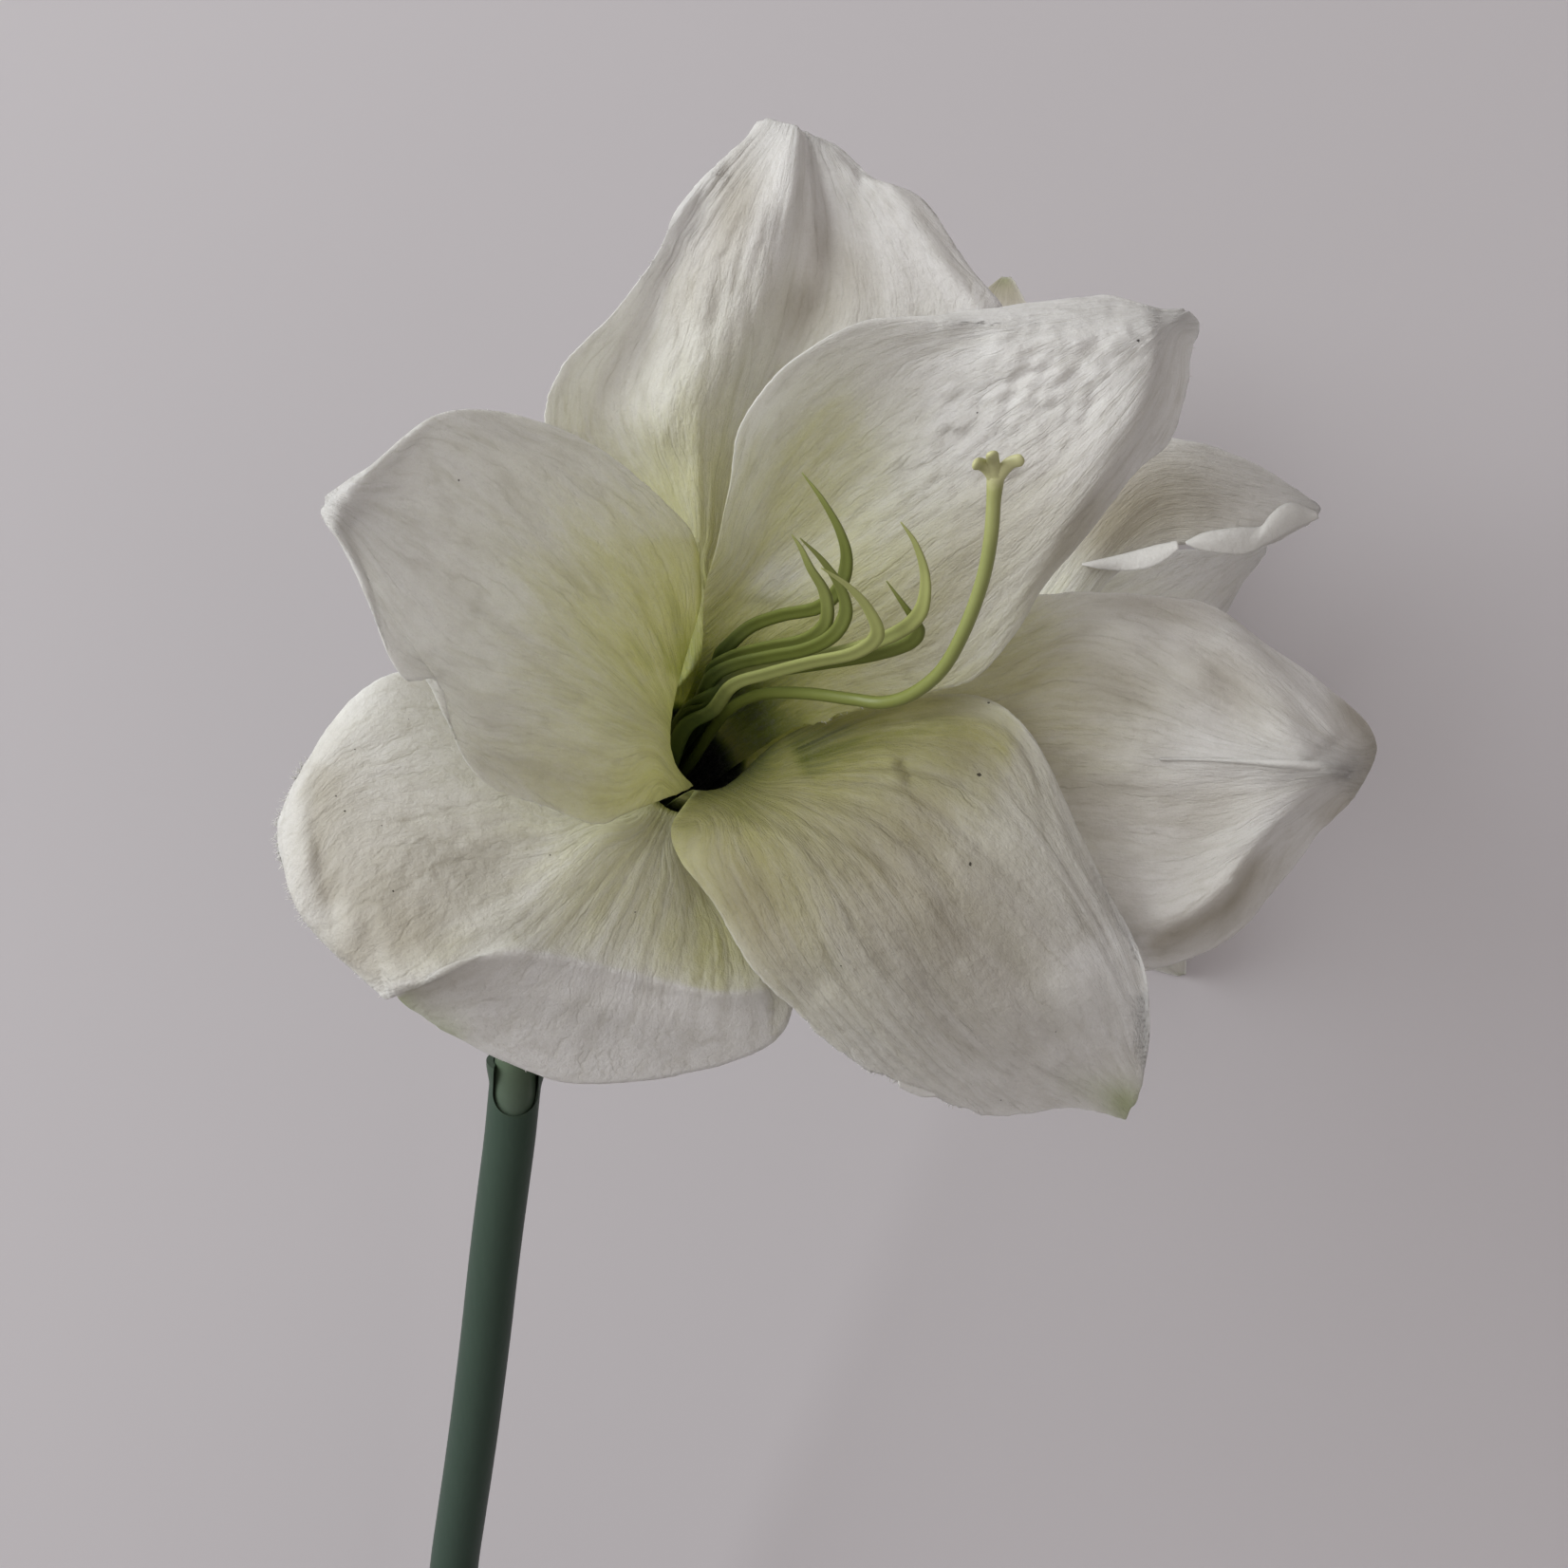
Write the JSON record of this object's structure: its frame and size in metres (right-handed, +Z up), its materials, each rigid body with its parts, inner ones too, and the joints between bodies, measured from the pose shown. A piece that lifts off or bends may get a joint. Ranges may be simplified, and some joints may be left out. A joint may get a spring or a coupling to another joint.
{
  "type": "amaryllis stem",
  "caption": "Artificial cut amaryllis stem lying down: white fabric petals around green throats, moulded stamens and styles, and a plastic stem with a scooped collar.",
  "frame": {"origin": "middle of the underside of the whole stem as it lies", "axes": "+Y runs along the stem from its cut end towards the blooms, +Z is up, the front bloom opens upwards"},
  "size_m": [0.281, 0.6468, 0.3069],
  "materials": {
    "petal": "matt pressed polyester fabric",
    "stem": "satin moulded plastic",
    "fork": "satin moulded plastic",
    "calyx": "satin moulded plastic",
    "filament": "satin moulded plastic",
    "style": "satin moulded plastic"
  },
  "bodies": {
    "root": {"stem": "stem", "umbel_fork": "fork", "front_calyx": "calyx", "back_calyx": "calyx", "front_style": "style", "back_style": "style", "front_petal_top": "petal", "front_petal_upper_right": "petal", "front_petal_right": "petal", "front_petal_lower_right": "petal", "front_petal_lower_left": "petal", "front_petal_upper_left": "petal", "back_petal_right": "petal", "back_petal_right_inner": "petal", "back_petal_top": "petal", "back_petal_left": "petal", "back_petal_under": "petal", "back_petal_lower_right": "petal", "front_stamen_1": "filament", "front_stamen_2": "filament", "front_stamen_3": "filament", "front_stamen_4": "filament", "front_stamen_5": "filament", "front_stamen_6": "filament", "back_stamen_1": "filament", "back_stamen_2": "filament", "back_stamen_3": "filament", "back_stamen_4": "filament", "back_stamen_5": "filament", "back_stamen_6": "filament"}
  },
  "joints": []
}
